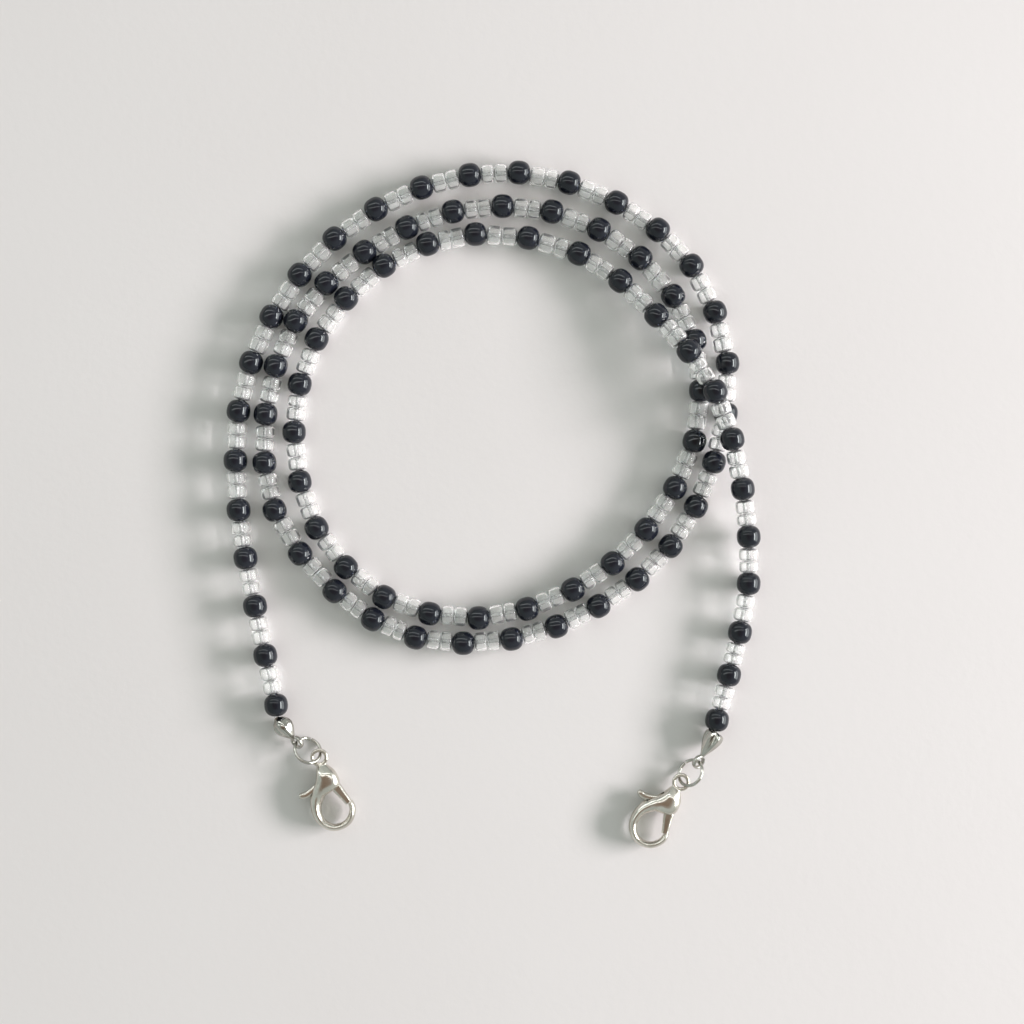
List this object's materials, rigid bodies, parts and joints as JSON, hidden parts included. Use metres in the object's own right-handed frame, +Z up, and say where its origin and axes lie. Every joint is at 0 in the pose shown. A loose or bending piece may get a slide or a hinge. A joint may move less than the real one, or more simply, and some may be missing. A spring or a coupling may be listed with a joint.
{
  "type": "eyeglass retainer strap",
  "caption": "Beaded eyeglass strap: black and clear round beads on a clear line, with a shell bead tip, a jump ring and a lobster clasp at each end.",
  "frame": {"origin": "middle of the outline of the laid-out strap, on the table it lies on", "axes": "+Z up from the table, +Y away from the two clasps towards the far side of the turns, +X to the right with the clasps nearest"},
  "size_m": [0.0896, 0.1148, 0.008],
  "materials": {
    "glass_beads": "glossy black; the seed beads between are clear",
    "line": "clear monofilament",
    "plated_metal": "bright nickel plate",
    "spring_steel": "drawn wire"
  },
  "bodies": {
    "strand": {"bead_run_01": "glass_beads", "bead_run_02": "glass_beads", "bead_run_03": "glass_beads", "bead_run_04": "glass_beads", "bead_run_05": "glass_beads", "bead_run_06": "glass_beads", "bead_run_07": "glass_beads", "bead_run_08": "glass_beads", "bead_run_09": "glass_beads", "bead_run_10": "glass_beads", "bead_run_11": "glass_beads", "bead_run_12": "glass_beads", "bead_run_13": "glass_beads", "bead_run_14": "glass_beads", "bead_run_15": "glass_beads", "bead_run_16": "glass_beads", "bead_run_17": "glass_beads", "bead_run_18": "glass_beads", "bead_run_19": "glass_beads", "bead_run_20": "glass_beads", "bead_run_21": "glass_beads", "bead_run_22": "glass_beads", "bead_run_23": "glass_beads", "bead_run_24": "glass_beads", "bead_run_25": "glass_beads", "bead_run_26": "glass_beads", "bead_run_27": "glass_beads", "bead_run_28": "glass_beads", "bead_run_29": "glass_beads", "bead_run_30": "glass_beads", "bead_run_31": "glass_beads", "bead_run_32": "glass_beads", "bead_run_33": "glass_beads", "bead_run_34": "glass_beads", "bead_run_35": "glass_beads", "bead_run_36": "glass_beads", "bead_run_37": "glass_beads", "bead_run_38": "glass_beads", "bead_run_39": "glass_beads", "bead_run_40": "glass_beads", "bead_run_41": "glass_beads", "stringing_line": "line", "bead_tip_left": "plated_metal", "crimp_left": "plated_metal", "bead_tip_right": "plated_metal", "crimp_right": "plated_metal"},
    "ring_left": {"jump_ring_left": "plated_metal"},
    "clasp_left": {"clasp_body_left": "plated_metal", "clasp_pin_left": "spring_steel", "clasp_spring_left": "spring_steel"},
    "lever_left": {"clasp_lever_left": "plated_metal"},
    "ring_right": {"jump_ring_right": "plated_metal"},
    "clasp_right": {"clasp_body_right": "plated_metal", "clasp_pin_right": "spring_steel", "clasp_spring_right": "spring_steel"},
    "lever_right": {"clasp_lever_right": "plated_metal"}
  },
  "joints": [
    {"name": "ring_swing_left", "type": "hinge", "parent": "strand", "child": "ring_left", "pos_m": [-0.03251, -0.03956, 0.00181], "axis": [-0.4575, -0.5856, 0.6691], "range_deg": [-60, 60]},
    {"name": "clasp_swing_left", "type": "hinge", "parent": "ring_left", "child": "clasp_left", "pos_m": [-0.02884, -0.04214, 0.0016], "axis": [-0.3457, -0.6642, 0.6629], "range_deg": [-40, 30]},
    {"name": "lever_press_left", "type": "hinge", "parent": "clasp_left", "child": "lever_left", "pos_m": [-0.02754, -0.04585, 0.0016], "axis": [0, 0, -1], "range_deg": [0, 25], "stiffness_Nm_per_rad": 0.01, "springref_deg": -17.19},
    {"name": "ring_swing_right", "type": "hinge", "parent": "strand", "child": "ring_right", "pos_m": [0.03444, -0.04283, 0.00195], "axis": [-0.5517, 0.4009, -0.7314], "range_deg": [-60, 60]},
    {"name": "clasp_swing_right", "type": "hinge", "parent": "ring_right", "child": "clasp_right", "pos_m": [0.03156, -0.04624, 0.0016], "axis": [-0.416, 0.5618, -0.715], "range_deg": [-42, 42]},
    {"name": "lever_press_right", "type": "hinge", "parent": "clasp_right", "child": "lever_right", "pos_m": [0.02949, -0.04959, 0.0016], "axis": [0, 0, -1], "range_deg": [0, 25], "stiffness_Nm_per_rad": 0.01, "springref_deg": -17.19}
  ]
}
